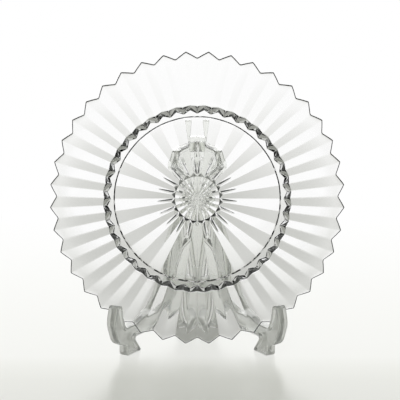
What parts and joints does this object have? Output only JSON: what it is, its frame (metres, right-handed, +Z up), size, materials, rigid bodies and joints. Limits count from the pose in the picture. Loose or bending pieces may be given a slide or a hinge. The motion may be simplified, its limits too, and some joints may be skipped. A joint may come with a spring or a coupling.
{
  "type": "pleated glass dish on folding stand",
  "caption": "Clear pressed-glass dish with a pleated rim, zigzag edge, fluted base and rosette, displayed on a clear folding plate stand.",
  "frame": {"origin": "on the floor under the middle of the bounding box", "axes": "+Z up; the dish faces -Y and leans back towards +Y, where the hinge of the stand is; +X to the right of someone facing the dish"},
  "size_m": [0.1994, 0.0964, 0.1971],
  "materials": {
    "clear_glass": "fire-polished pressed glass",
    "clear_plastic": "clear moulded polystyrene, glossy"
  },
  "bodies": {
    "left_half": {"stand_left": "clear_plastic"},
    "right_half": {"stand_right": "clear_plastic"},
    "dish": {"glass_dish": "clear_glass"}
  },
  "joints": [
    {"name": "dish_lift", "type": "slide", "parent": "left_half", "child": "dish", "axis": [0, 0, 1], "range_m": [0, 0.19]},
    {"name": "stand_fold", "type": "hinge", "parent": "left_half", "child": "right_half", "pos_m": [0, 0.04459, 0], "axis": [0, 0, -1], "range_deg": [0, 59]}
  ],
  "couplings": [
    {"joint": "stand_fold", "follows": "dish_lift", "rad_per_m": 5.4197}
  ]
}
